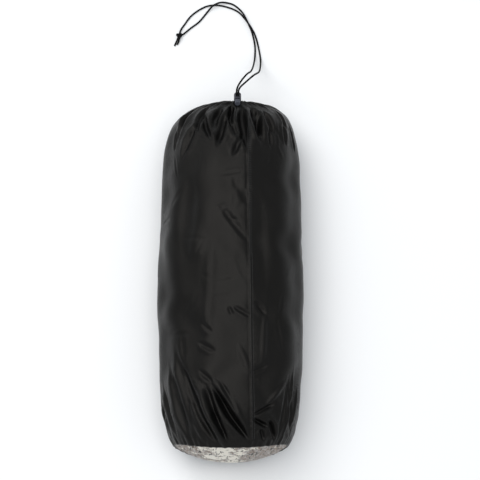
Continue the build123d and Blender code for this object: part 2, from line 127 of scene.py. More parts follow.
class ShaderGraph:
    """A material under construction around one Principled BSDF."""

    def __init__(self, name: str) -> None:
        """Start the material of that name."""
        self.material = bpy.data.materials.new(name)
        self.material.use_nodes = True
        self.tree = self.material.node_tree
        self.tree.nodes.clear()
        self.surface = self.node("ShaderNodeBsdfPrincipled", {})
        self.node("ShaderNodeOutputMaterial",
                  {"Surface": Signal(self, self.surface.outputs["BSDF"])})

    def node(self, kind: str, inputs: dict[int | str, Signal | float | Sequence[float]],
             **settings: object) -> bpy.types.Node:
        """Add one node of any kind.

        Args:
            kind: the node's type name.
            inputs: values or signals by the number or name of their socket.
            settings: properties of the node, set before its inputs.

        Returns:
            The node.
        """
        node = self.tree.nodes.new(kind)
        for key, value in settings.items():
            setattr(node, key, value)
        self.fill(node, inputs)
        return node

    def fill(self, node: bpy.types.Node,
             inputs: dict[int | str, Signal | float | Sequence[float]]) -> None:
        """Link or set sockets of a node.

        Args:
            node: the node.
            inputs: values or signals by the number or name of their socket.
        """
        for key, value in inputs.items():
            if isinstance(value, Signal):
                self.tree.links.new(value.socket, node.inputs[key])
            else:
                node.inputs[key].default_value = value

    def noise(self, place: Signal, scale: float, detail: float = 2.0,
              roughness: float = 0.5) -> Signal:
        """Noise between 0 and 1 at a place, scale being lumps to the metre."""
        node = self.node("ShaderNodeTexNoise", {"Vector": place, "Scale": scale, "Detail": detail,
                                                "Roughness": roughness}, noise_dimensions="3D")
        return Signal(self, node.outputs[0])

    def stretched(self, place: Signal, scale: Point) -> Signal:
        """A place with each axis multiplied."""
        node = self.node("ShaderNodeVectorMath", {0: place, 1: scale}, operation="MULTIPLY")
        return Signal(self, node.outputs[0])

    def in_place(self) -> Signal:
        """Place on the piece, in metres."""
        return Signal(self, self.node("ShaderNodeTexCoord", {}).outputs["Object"])

    def on_cloth(self) -> Signal:
        """Place on the flat cloth, in metres across and along it."""
        return Signal(self, self.node("ShaderNodeUVMap", {}, uv_map="cloth").outputs[0])

    def axes(self, place: Signal) -> tuple[Signal, Signal, Signal]:
        """The three numbers of a place."""
        node = self.node("ShaderNodeSeparateXYZ", {0: place})
        return tuple(Signal(self, socket) for socket in node.outputs)

    def mix(self, share: Signal, first: Signal | Colour, second: Signal | Colour) -> Signal:
        """Colour between first, where share is 0, and second, where it is 1."""
        node = self.node("ShaderNodeMix", {0: share, 6: first, 7: second}, data_type="RGBA")
        return Signal(self, node.outputs[2])

    def set(self, **values: Signal | float | Sequence[float]) -> None:
        """Set sockets of the Principled BSDF, named with _ for each space."""
        self.fill(self.surface, {key.replace("_", " "): value for key, value in values.items()})

    def bump(self, height: Signal, depth: float, strength: float = 1.0) -> None:
        """Raise the surface by height times depth, in metres."""
        node = self.node("ShaderNodeBump", {"Height": height, "Distance": depth,
                                            "Strength": strength})
        self.set(Normal=Signal(self, node.outputs[0]))


def grey(level: float) -> Colour:
    """Neutral colour of that linear level."""
    return (level, level, level, 1.0)


# ---------------------------------------------------------------- finishes
@dataclass(frozen=True)
class CoatedNylon:
    """Thin proofed nylon: plain weave, faint crinkle, soft sheen."""

    name: str
    colour: Colour
    worn: Colour
    roughness: float = 0.42
    index: float = 1.4
    thread_pitch: float = 0.55 * MM
    crinkle: float = 0.35 * MM
    on_uv: bool = True
    sheen_tint: Colour = (1.0, 1.0, 1.0, 1.0)

    def material(self) -> bpy.types.Material:
        """Build the material."""
        graph = ShaderGraph(self.name)
        place = graph.on_cloth() if self.on_uv else graph.in_place()
        across, along, _ = graph.axes(place)
        wave = TURN / self.thread_pitch
        weave = (across * wave).sine() * (along * wave).sine()
        broad = graph.noise(place, 9, 3)
        fine = graph.noise(graph.stretched(place, (1.0, 0.55, 1.0)), 75, 4, 0.6)
        dust = graph.noise(place, 900, 2)
        tint = (broad * 0.7 + dust * 0.3).above(0.35, 0.7)
        graph.set(Base_Color=graph.mix(tint, self.colour, self.worn),
                  Roughness=self.roughness - 0.06 + broad * 0.08 + weave * 0.02,
                  IOR=self.index, Specular_Tint=self.sheen_tint)
        graph.bump(fine + weave * (self.thread_pitch * 0.12 / self.crinkle), self.crinkle, 0.5)
        return graph.material


@dataclass(frozen=True)
class PrintedNylon:
    """Pale nylon printed with winter bark: cream middle, brown and grey mottling at the sides."""

    name: str
    cream: Colour = (0.72, 0.68, 0.60, 1.0)
    bark: Colour = (0.17, 0.12, 0.085, 1.0)
    ash: Colour = (0.38, 0.36, 0.34, 1.0)
    ink: Colour = (0.02, 0.016, 0.013, 1.0)
    cream_at: float = -12 * MM
    side_at: float = 23 * MM
    thread_pitch: float = 0.6 * MM

    def material(self) -> bpy.types.Material:
        """Build the material."""
        graph = ShaderGraph(self.name)
        place = graph.in_place()
        x, _, z = graph.axes(place)
        side = (x - self.cream_at).absolute().above(self.side_at * 0.5, self.side_at * 1.5)
        patch = graph.noise(graph.stretched(place, (1.0, 1.0, 1.5)), 60, 5, 0.62)
        grain = graph.noise(graph.stretched(place, (1.6, 1.0, 0.9)), 210, 4, 0.7)
        streak = graph.noise(graph.stretched(place, (3.0, 1.0, 1.1)), 120, 3, 0.55)
        mottled = graph.mix(grain.above(0.42, 0.6), self.bark, self.ash)
        cover = (patch + side * 0.16).above(0.53, 0.58)
        ground = graph.mix(cover, self.cream, mottled)
        inked = (streak + side * 0.03).above(0.60, 0.64)
        graph.set(Base_Color=graph.mix(inked, ground, self.ink),
                  Roughness=0.46 + grain * 0.1, Specular_IOR_Level=0.35)
        wave = TURN / self.thread_pitch
        weave = (x * wave).sine() * (z * wave).sine()
        graph.bump(graph.noise(place, 85, 3) + weave * 0.12, 0.4 * MM, 0.5)
        return graph.material


@dataclass(frozen=True)
class BraidedCord:
    """Round braided cord: diagonal picks with a dull sheen."""

    name: str
    colour: Colour = (0.0025, 0.0025, 0.0027, 1.0)
    light: Colour = (0.011, 0.011, 0.012, 1.0)
    pick: float = 1.5 * MM
    strands: int = 8

    def material(self) -> bpy.types.Material:
        """Build the material; across runs once round the cord, along is in metres."""
        graph = ShaderGraph(self.name)
        across, along, _ = graph.axes(graph.on_cloth())
        lean = along * (TURN / self.pick)
        turn = across * (TURN * self.strands / 2)
        picks = (turn + lean).sine() * (turn - lean).sine()
        fuzz = graph.noise(graph.in_place(), 2600, 2)
        share = (picks * 0.5 + fuzz).above(0.3, 0.9)
        graph.set(Base_Color=graph.mix(share, self.colour, self.light),
                  Roughness=0.62 + fuzz * 0.15, Specular_IOR_Level=0.12)
        graph.bump(picks * 0.6 + fuzz * 0.4, 0.16 * MM, 0.7)
        return graph.material


@dataclass(frozen=True)
class MouldedPlastic:
    """Moulded acetal with a fine sparked grain and cloudy rubbed patches that vary its colour and
    gloss.
    """

    name: str
    colour: Colour
    rubbed: Colour
    roughness: float = 0.38
    index: float = 1.3

    def material(self) -> bpy.types.Material:
        """Build the material."""
        graph = ShaderGraph(self.name)
        place = graph.in_place()
        grain = graph.noise(place, 2200, 3)
        cloud = graph.noise(place, 160, 2)
        graph.set(Base_Color=graph.mix(cloud.above(0.4, 0.75), self.colour, self.rubbed),
                  Roughness=self.roughness - 0.05 + cloud * 0.12, IOR=self.index)
        graph.bump(grain, 0.06 * MM, 0.5)
        return graph.material


@dataclass(frozen=True)
class DrawnMetal:
    """Drawn or anodised metal with fine scratches along it."""

    name: str
    colour: Colour
    dull: Colour
    roughness: float = 0.3
    metallic: float = 1.0

    def material(self) -> bpy.types.Material:
        """Build the material."""
        graph = ShaderGraph(self.name)
        place = graph.in_place()
        drawn = graph.noise(graph.stretched(place, (1.0, 0.03, 1.0)), 1500, 3)
        cloud = graph.noise(place, 70, 3)
        graph.set(Base_Color=graph.mix(cloud.above(0.35, 0.75), self.colour, self.dull),
                  Metallic=self.metallic,
                  Roughness=self.roughness - 0.08 + drawn * 0.18)
        graph.bump(drawn, 0.03 * MM, 0.4)
        return graph.material


@dataclass(frozen=True)
class WovenTape:
    """Ribbed polyester tape or webbing."""

    name: str
    colour: Colour
    rib: Colour
    pitch: float = 0.9 * MM

    def material(self) -> bpy.types.Material:
        """Build the material."""
        graph = ShaderGraph(self.name)
        place = graph.in_place()
        x, y, _ = graph.axes(place)
        ribs = (y * (TURN / self.pitch)).sine() * 0.5 + (x * (TURN / self.pitch)).sine() * 0.3
        fuzz = graph.noise(place, 1300, 2)
        graph.set(Base_Color=graph.mix((ribs + fuzz).above(0.1, 1.1), self.colour, self.rib),
                  Roughness=0.7 + fuzz * 0.1)
        graph.bump(ribs + fuzz * 0.4, 0.15 * MM, 0.6)
        return graph.material


@dataclass(frozen=True)
class NetMesh:
    """Fine insect netting with see-through holes."""

    name: str
    colour: Colour = (0.015, 0.015, 0.017, 1.0)
    pitch: float = 1.4 * MM

    def material(self) -> bpy.types.Material:
        """Build the material."""
        graph = ShaderGraph(self.name)
        x, y, z = graph.axes(graph.in_place())
        wave = TURN / self.pitch
        holes = (x * wave).sine() * (y * wave).sine() * (z * wave + 1.5).sine()
        thread = graph.noise(graph.in_place(), 1700, 2)
        graph.set(Base_Color=graph.mix(thread.above(0.3, 0.8), self.colour, grey(0.05)),
                  Roughness=0.6 + thread * 0.15,
                  Alpha=1 - holes.above(0.25, 0.45) * 0.8)
        graph.bump(holes, 0.1 * MM, 0.5)
        return graph.material


@dataclass(frozen=True)
class StudioPaper:
    """White paper under the object."""

    name: str
    level: float = 0.94

    def material(self) -> bpy.types.Material:
        """Build the material."""
        graph = ShaderGraph(self.name)
        tooth = graph.noise(graph.in_place(), 240, 3)
        graph.set(Base_Color=graph.mix(tooth, grey(self.level - 0.01), grey(self.level)),
                  Roughness=0.9, Specular_IOR_Level=0.1)
        graph.bump(tooth, 0.05 * MM, 0.2)
        return graph.material


class Finish(Enum):
    """Every finish of the object, by what it covers."""

    SACK = CoatedNylon("sack_coated_nylon", (0.0030, 0.0029, 0.0028, 1),
                       (0.0046, 0.0045, 0.0044, 1), 0.34, 1.25, sheen_tint=(1.0, 0.95, 0.89, 1.0))
    PRINT = PrintedNylon("bark_printed_nylon")
    TAPE = CoatedNylon("seam_tape_film", grey(0.045), grey(0.07), 0.3, 1.45, 0.5 * MM, 0.2 * MM,
                       False)
    CORD = BraidedCord("braided_cord")
    THREAD = WovenTape("black_thread", grey(0.03), grey(0.07), 0.3 * MM)
    LOCK = MouldedPlastic("lock_plastic", (0.004, 0.0045, 0.006, 1), (0.009, 0.010, 0.014, 1), 0.4)
    BUTTON = MouldedPlastic("button_plastic", (0.008, 0.0096, 0.0135, 1),
                            (0.015, 0.018, 0.026, 1), 0.46)
    SPRING = DrawnMetal("spring_steel", grey(0.55), grey(0.4), 0.25)
    FLOOR_CLOTH = CoatedNylon("bivy_floor_nylon", (0.02, 0.022, 0.02, 1), (0.035, 0.04, 0.034, 1),
                              0.4, 1.4, 0.6 * MM, 0.35 * MM, False)
    TOP_CLOTH = CoatedNylon("bivy_top_laminate", (0.16, 0.15, 0.11, 1), (0.24, 0.225, 0.17, 1),
                            0.55, 1.4, 0.6 * MM, 0.35 * MM, False)
    NET = NetMesh("insect_netting")
    ZIP_TAPE = WovenTape("zip_tape_weave", grey(0.015), grey(0.04))
    ZIP_COIL = MouldedPlastic("zip_coil_nylon", grey(0.02), grey(0.045), 0.4)
    ZIP_METAL = DrawnMetal("zip_slider_metal", grey(0.12), grey(0.07), 0.35)
    BAG_CLOTH = CoatedNylon("small_bag_nylon", (0.022, 0.03, 0.024, 1), (0.035, 0.047, 0.037, 1),
                            0.5, 1.4, 0.5 * MM, 0.3 * MM, False)
    POLE = DrawnMetal("anodised_pole", (0.32, 0.25, 0.12, 1), (0.24, 0.19, 0.09, 1), 0.28)
    FERRULE = DrawnMetal("ferrule_alloy", grey(0.62), grey(0.48), 0.3)
    STAKE = DrawnMetal("stake_alloy", (0.42, 0.09, 0.06, 1), (0.34, 0.07, 0.05, 1), 0.32)
    PAPER = StudioPaper("studio_paper")

    def material(self) -> bpy.types.Material:
        """The material already in the file under this name, else a newly built one."""
        return bpy.data.materials.get(self.value.name) or self.value.material()


# ---------------------------------------------------------------- mesh helpers
def cloth_grid(name: str, points: np.ndarray, cloth: np.ndarray, closed: bool) -> bpy.types.Object:
    """Smooth surface through a grid of points.

    Args:
        name: the object's name.
        points: rows by columns by 3, columns running round when closed.
        cloth: rows by columns (one more when closed) by 2, place on the flat cloth in metres.
        closed: join the last column to the first.

    Returns:
        The new object, linked to the scene.
    """
    rows, columns = points.shape[:2]
    steps = columns if closed else columns - 1
    row, column = np.meshgrid(np.arange(rows - 1), np.arange(steps), indexing="ij")
    after = (column + 1) % columns
    corners = ((row, column, column), (row, after, column + 1),
               (row + 1, after, column + 1), (row + 1, column, column))
    faces = np.stack([r * columns + c for r, c, _ in corners], -1).reshape(-1, 4)
    places = np.stack([cloth[r, c] for r, _, c in corners], -2).reshape(-1, 2)
    mesh = bpy.data.meshes.new(name)
    mesh.from_pydata(points.reshape(-1, 3).tolist(), [], faces.tolist())
    layer = mesh.uv_layers.new(name="cloth")
    layer.data.foreach_set("uv", places.astype(np.float32).ravel())
    mesh.polygons.foreach_set("use_smooth", np.ones(len(faces), bool))
    mesh.update()
    piece = bpy.data.objects.new(name, mesh)
    bpy.context.scene.collection.objects.link(piece)
    return piece


def place_piece(piece: bpy.types.Object, finish: Finish,
                node: str | None = None) -> bpy.types.Object:
    """Dress a piece and let it ride on the sack.

    Args:
        piece: the piece.
        finish: what it is made of.
        node: the CAD node that it stands for.

    Returns:
        The piece.
    """
    piece.data.materials.append(finish.material())
    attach(piece, "sack")
    if node:
        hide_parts(node)
    return piece


def round_grid(rows: np.ndarray, across: np.ndarray) -> np.ndarray:
    """Places on flat cloth for every pair of a row's place and a place across it."""
    return np.stack(np.broadcast_arrays(across[None, :], rows[:, None]), -1)


def smooth_curve(places: np.ndarray, values: np.ndarray, wanted: np.ndarray) -> np.ndarray:
    """Cubic through values that doesn't overshoot between them.

    Args:
        places: increasing places of the known values.
        values: the values there.
        wanted: places to work out.

    Returns:
        The values at the wanted places.
    """
    run = np.diff(places)
    rise = np.diff(values) / run
    slope = np.zeros(len(values))
    same = rise[1:] * rise[:-1] > 0
    first, second = 2 * run[1:] + run[:-1], run[1:] + 2 * run[:-1]
    safe_before = np.where(same, rise[:-1], 1)
    safe_after = np.where(same, rise[1:], 1)
    slope[1:-1] = np.where(same, (first + second) / (first / safe_before + second / safe_after), 0)
    slope[0], slope[-1] = rise[0], rise[-1]
    index = np.clip(np.searchsorted(places, wanted) - 1, 0, len(run) - 1)
    part = (wanted - places[index]) / run[index]
    start, end = values[index], values[index + 1]
    leave, arrive = slope[index] * run[index], slope[index + 1] * run[index]
    return (start * (1 + 2 * part) * (1 - part) ** 2 + leave * part * (1 - part) ** 2
            + end * part**2 * (3 - 2 * part) - arrive * part**2 * (1 - part))


def ease(value: np.ndarray, low: float, high: float) -> np.ndarray:
    """Smooth step from 0 at low to 1 at high."""
    part = np.clip((value - low) / (high - low), 0, 1)
    return part * part * (3 - 2 * part)


def surface_normals(points: np.ndarray) -> np.ndarray:
    """Unit normals of a grid that closes round its columns.

    Args:
        points: rows by columns by 3.

    Returns:
        Normals of the same shape, pointing out of the form.
    """
    around = np.roll(points, -1, 1) - np.roll(points, 1, 1)
    along = np.gradient(points, axis=0)
    normal = np.cross(around, along)
    return normal / np.maximum(np.linalg.norm(normal, axis=2, keepdims=True), 1e-12)


# ---------------------------------------------------------------- stuff sack
@dataclass(frozen=True)
class Hoop:
    """One oval section of the sack: its middle, half width and half height."""

    middle_x: float
    y: float
    middle_z: float
    half_width: float
    half_height: float


@dataclass(frozen=True)
class Fold:
    """A fold in the top of the sack, in millimetres: a valley where depth is positive."""

    start: tuple[float, float]
    end: tuple[float, float]
    depth: float
    width: float
    lip: float = 0.35


@dataclass
class StuffSack:
    """The sack's fabric: tube, turned-in bottom rim, gathered shoulder, hem and seam."""

    half_width: float = 93.3 * MM
    half_height: float = 71.5 * MM
    bottom_y: float = -228 * MM
    bottom_z: float = 65 * MM
    bottom_share: float = 0.80
    bottom_tilt: float = 5.0
    bottom_lip: float = 4 * MM
    dome: float = 9 * MM
    rim_recess: float = 12 * MM
    ring: Point = (8.5 * MM, 224.5 * MM, 82 * MM)
    ring_radius: float = 9 * MM
    hem_radius: float = 3.5 * MM
    thread_radius: float = 0.22 * MM
    film_depths: tuple[float, float] = (1.0 * MM, 1.5 * MM)
    floor_softness: float = 2.5 * MM
    columns: int = 400
    seed: int = 11
    # Along the tube: middle x and y in millimetres, width share, height share, middle z
    stations: tuple[tuple[float, float, float, float, float], ...] = (
        (0, -220, 0.850, 0.865, 65), (0, -206, 0.888, 0.915, 65), (0, -186, 0.925, 0.955, 65),
        (0, -150, 0.958, 0.985, 66), (0, -90, 0.990, 1.0, 66.5), (0, -20, 1.0, 1.0, 66.5),
        (0, 50, 0.990, 0.995, 66.5), (0, 105, 0.968, 0.975, 66), (0, 150, 0.948, 0.937, 64),
        (0, 182, 0.905, 0.869, 61), (1.5, 202, 0.838, 0.768, 59), (4, 214, 0.745, 0.667, 58),
        (5, 221, 0.625, 0.535, 61), (4.5, 225.5, 0.47, 0.405, 67),
    )
    pleats: tuple[Fold, ...] = (
        Fold((-13, 217), (-21, 178), 6.4, 4.6), Fold((-4, 208), (-17, 164), 6.8, 4.6),
        Fold((1, 220), (0, 190), 7.0, 3.0), Fold((1, 196), (9, 172), 3.0, 3.0),
        Fold((13, 216), (22, 158), 6.2, 5.2), Fold((15, 178), (3, 149), 3.0, 3.4),
        Fold((27, 216), (40, 170), 7.0, 5.2), Fold((38, 212), (34, 174), 4.0, 3.2),
        Fold((42, 212), (55, 182), 4.6, 3.4), Fold((50, 188), (52, 162), 2.4, 2.6),
        Fold((58, 217), (71, 191), 3.4, 2.8), Fold((76, 197), (83, 164), 2.6, 3.0),
        Fold((-35, 208), (-25, 172), 4.8, 3.6), Fold((-42, 222), (-63, 190), 4.4, 3.6),
        Fold((-52, 215), (-69, 172), 3.8, 3.0), Fold((-44, 193), (-59, 155), 3.0, 3.6),
        Fold((-70, 190), (-73, 162), 2.6, 2.8), Fold((-30, 219), (-43, 182), 5.0, 3.2),
        Fold((-56, 178), (-62, 148), 1.6, 3.0), Fold((66, 200), (70, 168), 2.6, 2.8),
    )
    folds: tuple[Fold, ...] = (
        Fold((-19, -154), (17, -216), 11.0, 4.2, 0.2), Fold((-23, -138), (12, -188), -2.6, 4.5, 0),
        Fold((-22, -178), (-6, -220), 4.4, 3.0), Fold((-39, -150), (-12, -224), -4.4, 6.0, 0),
        Fold((-31, -148), (-15, -200), 3.4, 3.8), Fold((-57, -132), (-21, -222), 4.6, 4.6),
        Fold((-75, -126), (-54, -216), 3.6, 6.5), Fold((-67, -106), (-38, -210), 3.0, 6.0),
        Fold((-12, -144), (9, -184), 2.2, 2.4), Fold((28, -190), (46, -204), 4.4, 3.0),
        Fold((49, -194), (54, -222), 6.4, 3.2), Fold((29, -184), (54, -171), 2.6, 2.4),
        Fold((46, -171), (69, -139), -1.8, 3.2, 0), Fold((79, -128), (66, -220), -2.6, 2.8, 0),
        Fold((84, -148), (74, -216), -2.0, 2.2, 0), Fold((72, -138), (60, -218), 2.2, 3.4),
        Fold((38, -206), (41, -222), 3.4, 2.4), Fold((-86, -148), (-70, -216), 2.4, 4.6),
        Fold((-50, -168), (-34, -222), -2.4, 5.0, 0), Fold((30, -150), (60, -190), 1.8, 8.0),
        Fold((-10, 78), (20, 38), 1.9, 4.2, 0.25), Fold((-3, -48), (2, -58), 1.6, 2.2),
        Fold((4, -48), (24, -60), 2.0, 2.6), Fold((-36, -69), (-24, -80), 1.5, 2.6),
        Fold((-40, -93), (-20, -104), 1.8, 2.8), Fold((25, -132), (46, -121), 1.8, 2.6),
        Fold((-39, -128), (-24, -142), 2.0, 2.8), Fold((31, -42), (44, -57), 2.0, 3.0),
        Fold((44, -57), (40, -116), -1.6, 4.0, 0), Fold((21, 138), (4, 76), -1.4, 6.0, 0),
        Fold((-52, 120), (-58, 20), 2.0, 12.0, 0.2), Fold((34, 100), (38, -40), 1.8, 11.0, 0.2),
        Fold((-24, 40), (-30, -90), -1.4, 7.0, 0), Fold((10, -96), (26, -138), -1.6, 4.0, 0),
        Fold((4, 118), (22, 84), 1.2, 5.0, 0.3), Fold((8, 20), (20, -14), 1.2, 5.0, 0.2),
    )

    # ---- form
    def hoops(self) -> list[Hoop]:
        """Sections from the turned-in bottom rim to the inside of the hem."""
        rim_width = self.half_width * self.bottom_share
        rim_height = self.half_height * self.bottom_share
        rim = [(self.bottom_lip + 0.6 * MM, 1.4 * MM), (3.0 * MM, -0.7 * MM),
               (1.1 * MM, -0.9 * MM), (0.0, 0.6 * MM)]
        found = [Hoop(0, self.bottom_y + out, self.bottom_z, rim_width - inset, rim_height - inset)
                 for inset, out in rim]
        found += [Hoop(x * MM, y * MM, z * MM, self.half_width * wide, self.half_height * high)
                  for x, y, wide, high, z in self.stations]
        x, y, z = self.ring
        radius = self.ring_radius + 1.5 * MM
        found += [Hoop(x * 0.8, y + 3.2 * MM, z - 6 * MM, radius * 2.2, radius * 1.75),
                  Hoop(x, y + 2.6 * MM, z, radius * 1.25, radius * 1.25),
                  Hoop(x, y - 1.0 * MM, z, radius, radius)]
        return found

    def build_form(self) -> None:
        """Work out the grid of the smooth sack: its places, turns and distances."""
        hoops = self.hoops()
        table = np.array([[h.middle_x, h.y, h.middle_z, h.half_width, h.half_height]
                          for h in hoops])
        turns = np.linspace(0, TURN, 9)[:-1]
        ovals = np.stack([table[:, 0:1] + table[:, 3:4] * np.sin(turns),
                          np.repeat(table[:, 1:2], 8, 1),
                          table[:, 2:3] + table[:, 4:5] * np.cos(turns)], -1)
        steps = np.linalg.norm(np.diff(ovals, axis=0), axis=2).mean(1)
        places = np.concatenate([[0], np.cumsum(steps)])
        self.end = places[-1]
        shoulder = self.end - 95 * MM
        self.along = np.concatenate([
            np.linspace(0, 60 * MM, 60)[:-1], np.linspace(60 * MM, shoulder, 250)[:-1],
            np.linspace(shoulder, self.end, 150)])
        self.section = np.stack([smooth_curve(places, column, self.along)
                                 for column in table.T], 1)
        self.turn = np.linspace(-math.pi, math.pi, self.columns, endpoint=False)
        x0, y0, z0, wide, high = (self.section[:, k:k + 1] for k in range(5))
        x = x0 + wide * np.sin(self.turn)
        z = z0 + high * np.cos(self.turn)
        lean = 1 - ease(y0, self.bottom_y + 4 * MM, self.bottom_y + 48 * MM)
        y = y0 + (z - self.bottom_z) * math.tan(math.radians(self.bottom_tilt)) * lean
        y = y + self.recess(x) * (1 - ease(y0, self.bottom_y + 2 * MM, self.bottom_y + 90 * MM))
        self.form = np.stack([x, np.broadcast_to(y, x.shape), z], -1)

    def recess(self, x: np.ndarray) -> np.ndarray:
        """How far the bottom rim is drawn in at its sides, against its middle."""
        share = np.minimum(np.abs(x) / (self.half_width * self.bottom_share), 1.15)
        return self.rim_recess * share**2.2

    def row_at(self, y: float) -> float:
        """Distance along the fabric at y, in metres."""
        return float(np.interp(y, self.section[3:, 1], self.along[3:]))

    def turn_at(self, x: float, y: float) -> float:
        """Turn from the top line of a place seen from above."""
        wide = np.interp(y, self.section[3:, 1], self.section[3:, 3])
        middle = np.interp(y, self.section[3:, 1], self.section[3:, 0])
        return math.asin(max(-0.995, min(0.995, (x - middle) / wide)))

    # ---- relief
    def fold_relief(self, begin: tuple[float, float], finish: tuple[float, float], depth: float,
                    width: float, lip: float) -> np.ndarray:
        """Height of one fold over the whole grid.

        Args:
            begin: turn and distance along where the fold starts.
            finish: turn and distance along where it ends.
            depth: how deep the valley is, negative for a ridge.
            width: half width of the fold.
            lip: height of the ridges beside it, as a share of depth.

        Returns:
            Height in metres, rows by columns.
        """
        middle = (begin[1] + finish[1]) / 2
        scale = float(np.interp(middle, self.along, self.section[:, 3]))
        local = np.clip(self.section[:, 3:4] / scale, 0.5, 1.15) * scale
        swing = (self.turn[None, :] - begin[0] + math.pi) % TURN - math.pi
        across, along = swing * local, self.along[:, None] - begin[1]
        run = np.array([(finish[0] - begin[0]) * scale, finish[1] - begin[1]])
        length = np.linalg.norm(run)
        run = run / length
        part = (across * run[0] + along * run[1]) / length
        off = across * run[1] - along * run[0]
        fade = np.exp(-np.abs((part - 0.5) / 0.46) ** 4.5)
        spread = width * (0.45 + 0.55 * fade)
        valley = np.exp(-np.abs(off / spread) ** 2.8)
        ridges = (np.exp(-((off - 1.9 * spread) / (1.1 * spread)) ** 2)
                  + 0.7 * np.exp(-((off + 2.0 * spread) / (1.2 * spread)) ** 2))
        return depth * fade * (lip * ridges - valley)

    def relief(self) -> np.ndarray:
        """Height of the fabric above the smooth form, rows by columns, in metres."""
        rng = np.random.default_rng(self.seed)
        along, turn = self.along[:, None], self.turn[None, :]
        body = (ease(along, 12 * MM, 60 * MM)
                * (1 - ease(along, self.end - 95 * MM, self.end - 50 * MM)))
        wander = (0.07 * np.sin(along / (38 * MM) + 0.6) + 0.06 * np.sin(along / (15 * MM) + 2.1)
                  + 0.03 * np.sin(along / (7 * MM) + 0.4))
        height = 0.95 * MM * body * np.cos(11 * (turn + math.radians(19) + wander))
        height = height + body * MM * (
            1.1 * np.sin(along / (52 * MM) + 1.3 + 0.8 * np.sin(2 * turn)) * np.cos(3 * turn + 0.5)
            + 0.7 * np.sin(along / (24 * MM) + 2.0 * np.sin(turn + 0.7)) * np.cos(5 * turn + 1.1)
            + 0.35 * np.sin(along / (11 * MM) + 2.4 * np.sin(2 * turn)) * np.cos(8 * turn + 2.3))
        for fold in self.pleats + self.folds:
            ends = [(self.turn_at(x * MM, y * MM), self.row_at(y * MM))
                    for x, y in (fold.start, fold.end)]
            height = height + self.fold_relief(*ends, fold.depth * MM, fold.width * MM, fold.lip)
        height = height + self.unseen_folds(rng) + self.creases(rng)
        return height + self.gathers(rng) + self.rim_puckers(rng) + self.seam_ridge()

    def unseen_folds(self, rng: np.random.Generator) -> np.ndarray:
        """Pleats and end folds round the sides and underneath."""
        height = np.zeros(self.form.shape[:2])
        for angle in np.concatenate([np.arange(72, 180, 15), -np.arange(72, 180, 15)]):
            begin = math.radians(angle + rng.uniform(-4, 4))
            top = self.end - rng.uniform(14, 24) * MM
            height += self.fold_relief((begin, top), (begin + rng.uniform(-0.12, 0.12),
                                                      top - rng.uniform(28, 52) * MM),
                                       rng.uniform(2.2, 4.2) * MM, rng.uniform(2.6, 4.2) * MM, 0.35)
        for angle in np.concatenate([np.arange(66, 180, 17), -np.arange(74, 180, 17)]):
            begin = math.radians(angle + rng.uniform(-5, 5))
            low_end = (begin, rng.uniform(8, 16) * MM)
            high_end = (begin + rng.uniform(-0.35, 0.35), rng.uniform(50, 105) * MM)
            height += self.fold_relief(low_end, high_end, rng.uniform(1.2, 3.0) * MM,
                                       rng.uniform(2.6, 5.5) * MM, 0.4)
        return height

    def creases(self, rng: np.random.Generator) -> np.ndarray:
        """Short, shallow creases all over, more of them near both ends."""
        height = np.zeros(self.form.shape[:2])
        for _ in range(150):
            begin = rng.uniform(-math.pi, math.pi)
            near = rng.beta(0.7, 0.7)
            start = (20 + near * (self.end / MM - 95)) * MM
            angle, length = rng.uniform(0, TURN), rng.uniform(9, 34) * MM
            finish = (begin + math.sin(angle) * length / self.half_width,
                      start + math.cos(angle) * length * 1.3)
            height += self.fold_relief((begin, start), finish, rng.uniform(-0.5, 0.6) * MM,
                                       rng.uniform(1.4, 3.4) * MM, 0.5)
        return height

    def gathers(self, rng: np.random.Generator) -> np.ndarray:
        """Fine ruffles running into the hem."""
        along, turn = self.along[:, None], self.turn[None, :]
        reach = ease(along, self.end - 62 * MM, self.end - 26 * MM)
        tight = 1 - 0.55 * ease(along, self.end - 22 * MM, self.end)
        height = np.zeros(self.form.shape[:2])
        for count, size in ((23, 1.0), (31, 0.8), (41, 0.55), (57, 0.3)):
            phase = rng.uniform(0, TURN)
            height += size * np.sin(count * turn + phase + 1.6 * np.sin(along / (15 * MM) + phase))
        return 0.75 * MM * reach * tight * height

    def rim_puckers(self, rng: np.random.Generator) -> np.ndarray:
        """Small puckers where the bottom is stitched in."""
        along, turn = self.along[:, None], self.turn[None, :]
        near = np.exp(-((along - 9 * MM) / (8 * MM)) ** 2)
        wave = sum(size * np.sin(count * turn + rng.uniform(0, TURN))
                   for count, size in ((29, 1.0), (47, 0.8), (71, 0.5)))
        return 0.35 * MM * near * wave

    def seam_turn(self) -> np.ndarray:
        """Turn of the long seam at each row."""
        y = self.section[:, 1]
        x = np.interp(y, (-220 * MM, 160 * MM), (26.5 * MM, 21.5 * MM))
        return np.arcsin(np.clip((x - self.section[:, 0]) / self.section[:, 3], -0.9, 0.9))

    def seam_ridge(self) -> np.ndarray:
        """Ridge of the long seam with its stitched-down edge and slight pucker."""
        along = self.along[:, None]
        off = (self.turn[None, :] - self.seam_turn()[:, None]) * self.section[:, 3:4]
        body = (ease(along, 6 * MM, 16 * MM)
                * (1 - ease(along, self.end - 75 * MM, self.end - 55 * MM)))
        step = 0.75 * np.exp(-((off - 0.3 * MM) / (1.3 * MM)) ** 2)
        groove = -0.45 * np.exp(-((off + 2.0 * MM) / (1.4 * MM)) ** 2)
        pucker = 0.2 * np.sin(along / (1.6 * MM)) * np.exp(-((off - 2 * MM) / (4 * MM)) ** 2)
        return body * MM * (step + groove + pucker)

